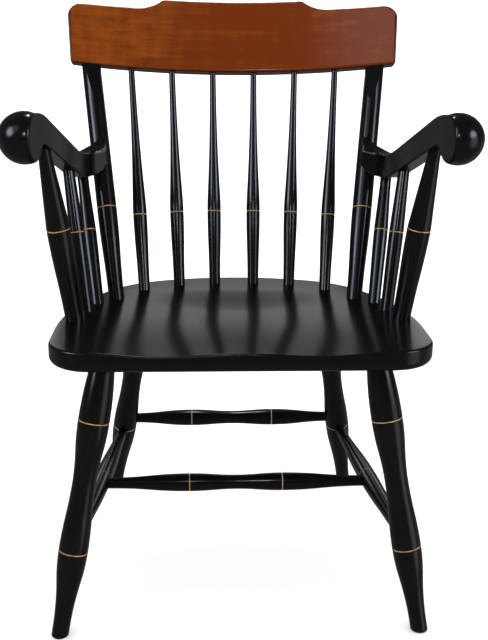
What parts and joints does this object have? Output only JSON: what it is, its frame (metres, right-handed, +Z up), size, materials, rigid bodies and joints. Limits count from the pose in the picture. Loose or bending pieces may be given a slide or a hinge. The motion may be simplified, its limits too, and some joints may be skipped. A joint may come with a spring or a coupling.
{
  "type": "captains chair",
  "caption": "Spindle-back wooden armchair: saddled plank seat, splayed turned legs with stretchers, bent crest rail, and sloping arms that end in balls.",
  "frame": {"origin": "on the floor, under the middle of the chair's outer box", "axes": "+Z up, +Y towards the back of the chair, +X to the right as seen from the front"},
  "size_m": [0.6386, 0.5575, 0.889],
  "materials": {
    "black_lacquer": "satin black lacquer on hardwood, with gold lines painted in the scored rings",
    "cherry_finish": "clear satin lacquer on cherry-stained hardwood",
    "screw_steel": "zinc-plated steel"
  },
  "bodies": {
    "root": {"seat": "black_lacquer", "front_left_leg": "black_lacquer", "front_right_leg": "black_lacquer", "rear_left_leg": "black_lacquer", "rear_right_leg": "black_lacquer", "left_side_stretcher": "black_lacquer", "right_side_stretcher": "black_lacquer", "rear_stretcher": "black_lacquer", "centre_stretcher": "black_lacquer", "left_back_post": "black_lacquer", "right_back_post": "black_lacquer", "back_spindle_1": "black_lacquer", "back_spindle_2": "black_lacquer", "back_spindle_3": "black_lacquer", "back_spindle_4": "black_lacquer", "back_spindle_5": "black_lacquer", "back_spindle_6": "black_lacquer", "left_arm": "black_lacquer", "right_arm": "black_lacquer", "left_arm_post": "black_lacquer", "right_arm_post": "black_lacquer", "left_front_arm_spindle": "black_lacquer", "right_front_arm_spindle": "black_lacquer", "left_rear_arm_spindle": "black_lacquer", "right_rear_arm_spindle": "black_lacquer", "screw_plugs": "black_lacquer", "crest_rail": "cherry_finish", "arm_screws": "screw_steel"}
  },
  "joints": []
}
